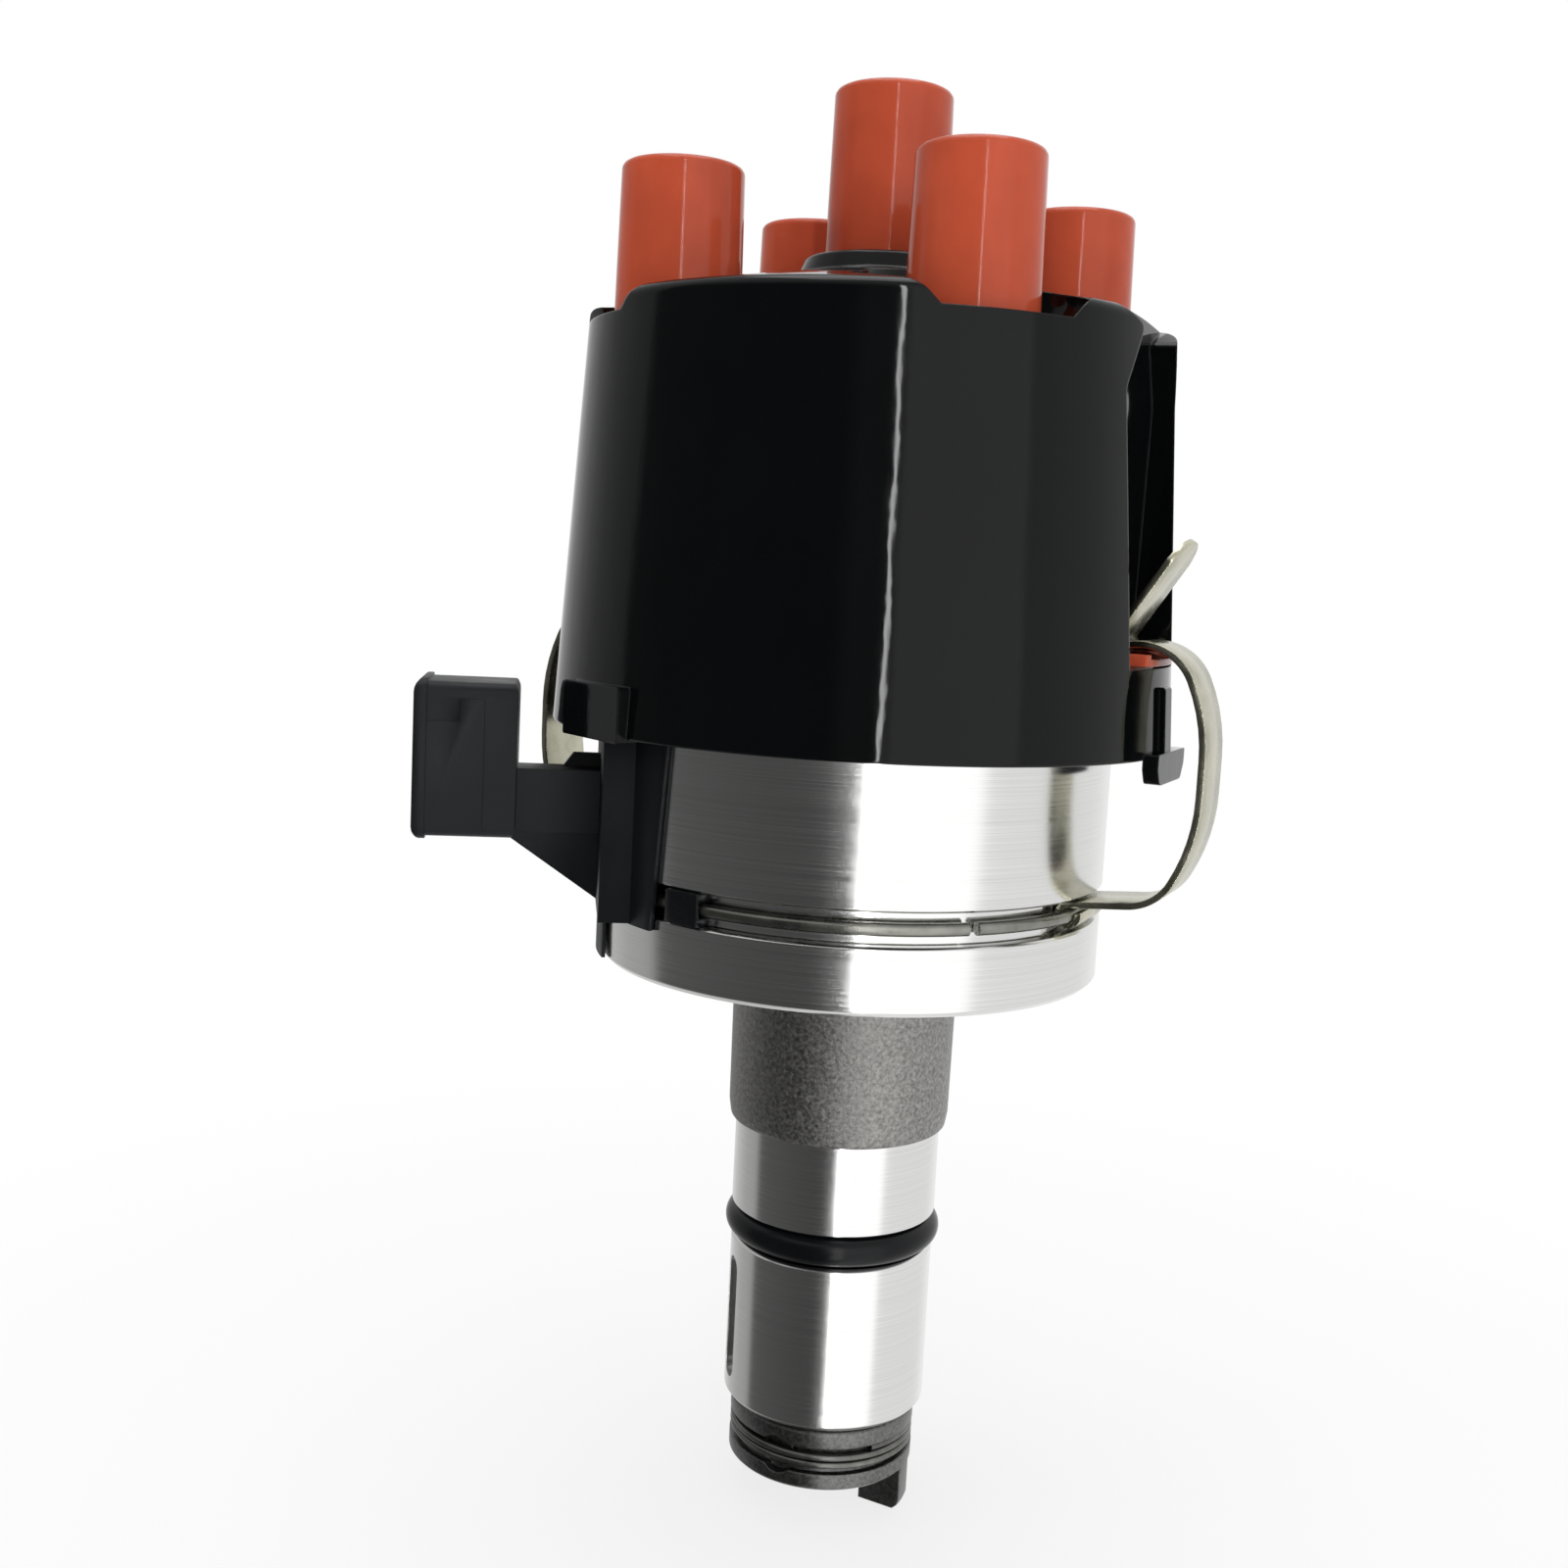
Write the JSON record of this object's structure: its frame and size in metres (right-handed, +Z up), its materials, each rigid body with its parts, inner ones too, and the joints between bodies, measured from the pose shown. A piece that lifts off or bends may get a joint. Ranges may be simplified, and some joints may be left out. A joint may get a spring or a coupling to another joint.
{
  "type": "ignition distributor",
  "caption": "Ignition distributor with a screened cap, upright lead towers, spring clips, a side signal connector, a turned flange and a shank with a seal ring and an offset drive dog.",
  "frame": {"origin": "on the axis, at the shoulder where the shank meets the cast neck", "axes": "+Z up along the shaft towards the lead towers, -X along the signal connector"},
  "size_m": [0.0971, 0.0788, 0.1829],
  "materials": {
    "turned_aluminium": "turned bright, neck as cast",
    "seal_rubber": "satin",
    "bush_bronze": "sintered",
    "plated_steel": "zinc plated",
    "ground_steel": "ground",
    "dark_steel": "blackened, worn",
    "connector_plastic": "fine matt texture",
    "black_plastic": "glossy",
    "orange_plastic": "satin gloss",
    "rotor_plastic": "moulded",
    "tinned_brass": "tinned",
    "brass": "bright",
    "zinc_spring_steel": "pale yellow zinc plate",
    "carbon": "sintered carbon",
    "felt": "felt"
  },
  "bodies": {
    "housing": {"housing": "turned_aluminium", "shank_seal_ring": "seal_rubber", "upper_bush": "bush_bronze", "lower_bush": "bush_bronze", "hall_base_plate": "plated_steel", "hall_sensor": "connector_plastic", "hall_magnet": "dark_steel", "plate_screws": "plated_steel", "hall_connector": "connector_plastic", "connector_pins": "tinned_brass", "groove_plug": "seal_rubber", "clip_ring_wire": "zinc_spring_steel", "dust_cover": "connector_plastic", "distributor_cap": "orange_plastic", "lead_tower_1": "orange_plastic", "lead_tower_2": "orange_plastic", "lead_tower_3": "orange_plastic", "lead_tower_4": "orange_plastic", "coil_lead_tower": "orange_plastic", "side_electrodes": "brass", "centre_electrode": "brass", "screening_cover": "black_plastic", "brush_spring": "ground_steel"},
    "rotor": {"drive_shaft": "ground_steel", "thrust_washers": "plated_steel", "drive_dog": "dark_steel", "dog_pin": "dark_steel", "pin_retaining_spring": "dark_steel", "trigger_vane": "plated_steel", "vane_circlip": "dark_steel", "rotor_arm": "rotor_plastic", "rotor_contact": "brass", "felt_pad": "felt"},
    "clip_1": {"spring_clip_1": "zinc_spring_steel"},
    "clip_2": {"spring_clip_2": "zinc_spring_steel"},
    "brush": {"carbon_brush": "carbon"}
  },
  "joints": [
    {"name": "shaft_turn", "type": "hinge", "parent": "housing", "child": "rotor", "pos_m": [0, 0, 0], "axis": [0, 0, 1], "continuous": true},
    {"name": "clip_1_swing", "type": "hinge", "parent": "housing", "child": "clip_1", "pos_m": [0.02573, -0.01671, 0.03195], "axis": [0.5446, 0.8387, 0], "range_deg": [0, 60]},
    {"name": "clip_2_swing", "type": "hinge", "parent": "housing", "child": "clip_2", "pos_m": [-0.02573, 0.01671, 0.03195], "axis": [-0.5446, -0.8387, 0], "range_deg": [0, 60]},
    {"name": "brush_press", "type": "slide", "parent": "housing", "child": "brush", "axis": [0, 0, 1], "range_m": [0, 0.002], "stiffness_N_per_m": 250, "springref_m": -0.002, "deforming": ["brush_spring"]}
  ]
}
